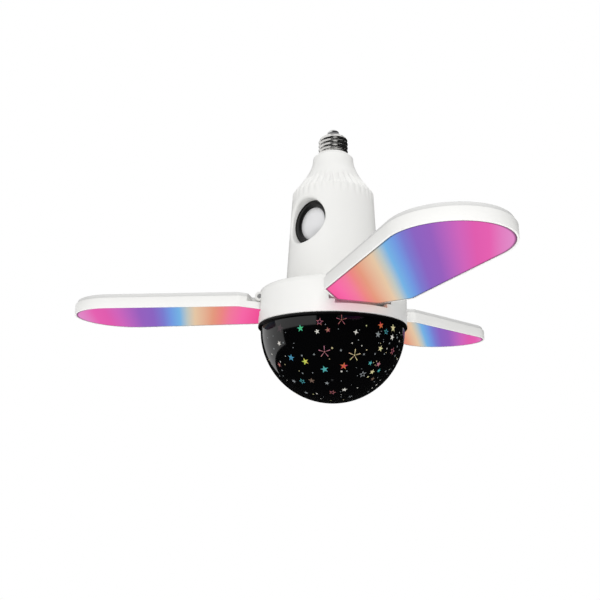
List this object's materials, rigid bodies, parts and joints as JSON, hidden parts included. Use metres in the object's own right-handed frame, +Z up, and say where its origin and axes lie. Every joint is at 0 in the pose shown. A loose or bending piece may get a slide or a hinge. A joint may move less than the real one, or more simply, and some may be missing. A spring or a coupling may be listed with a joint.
{
  "type": "smart led bulb",
  "caption": "Screw-base smart bulb with folding leaf-shaped light panels around a white hub, a loudspeaker in its side and a rotating black star-projector dome below.",
  "frame": {"origin": "on the lamp's axis where the screw shell meets the neck, at the screw base's seat", "axes": "+Z up along the lamp's axis towards the centre contact; the left blade points along -X, and the camera of the picture stood near -Y"},
  "size_m": [0.3682, 0.4123, 0.2453],
  "materials": {
    "white_plastic": "white moulded ABS with a soft gloss",
    "nickel": "nickel-plated rolled brass",
    "black_glass": "black insulator",
    "solder": "tinned contact",
    "star_black": "glossy black acrylic with clear star windows",
    "lit_diffuser": "opal diffuser lit by colour-changing lights",
    "black_rubber": "matt black rubber",
    "silver_cone": "pearl silver cone",
    "ferrite": "dark ferrite and steel",
    "green_board": "green circuit board",
    "white_board": "white-faced aluminium board",
    "steel": "zinc-plated steel",
    "dark_plastic": "black nylon",
    "copper_winding": "enamelled copper"
  },
  "bodies": {
    "root": {"centre_contact": "solder", "base_insulator": "black_glass", "screw_shell": "nickel", "upper_housing": "white_plastic", "speaker_basket": "dark_plastic", "speaker_surround": "black_rubber", "speaker_magnet": "ferrite", "control_board": "green_board", "wireless_module": "steel", "power_board": "green_board", "transformer": "dark_plastic", "filter_capacitor": "dark_plastic", "collar": "white_plastic", "joint_screws": "steel", "chassis_plate": "white_plastic", "chassis_screws": "steel", "bracket_screws": "steel", "gear_motor": "steel", "motor_screws": "steel", "star_led_board": "white_board", "hinge_bracket_left": "white_plastic", "hinge_bracket_front": "white_plastic", "hinge_bracket_rear": "white_plastic", "hinge_pin_left": "steel", "hinge_pin_front": "steel", "hinge_pin_rear": "steel"},
    "blade_left": {"blade_housing_left": "white_plastic", "led_board_left": "white_board", "light_panel_left": "lit_diffuser"},
    "blade_front": {"blade_housing_front": "white_plastic", "led_board_front": "white_board", "light_panel_front": "lit_diffuser"},
    "blade_rear": {"blade_housing_rear": "white_plastic", "led_board_rear": "white_board", "light_panel_rear": "lit_diffuser"},
    "dome": {"star_dome": "star_black", "dome_ring": "star_black", "dome_carrier": "dark_plastic", "drive_shaft": "steel"},
    "cone": {"speaker_cone": "silver_cone", "voice_coil": "copper_winding"}
  },
  "joints": [
    {"name": "left_blade_fold", "type": "hinge", "parent": "root", "child": "blade_left", "pos_m": [-0.06, 0, -0.1326], "axis": [0, 1, 0], "range_deg": [0, 90]},
    {"name": "front_blade_fold", "type": "hinge", "parent": "root", "child": "blade_front", "pos_m": [0.03, -0.05196, -0.1326], "axis": [-0.866, -0.5, 0], "range_deg": [-2.8, 87.2]},
    {"name": "rear_blade_fold", "type": "hinge", "parent": "root", "child": "blade_rear", "pos_m": [0.03, 0.05196, -0.1326], "axis": [0.866, -0.5, 0], "range_deg": [-1.7, 88.3]},
    {"name": "dome_spin", "type": "hinge", "parent": "root", "child": "dome", "pos_m": [0, 0, -0.1565], "axis": [0, 0, 1], "continuous": true},
    {"name": "cone_stroke", "type": "slide", "parent": "root", "child": "cone", "axis": [-0.5878, -0.809, 0], "range_m": [-0.001, 0.001], "stiffness_N_per_m": 500}
  ]
}
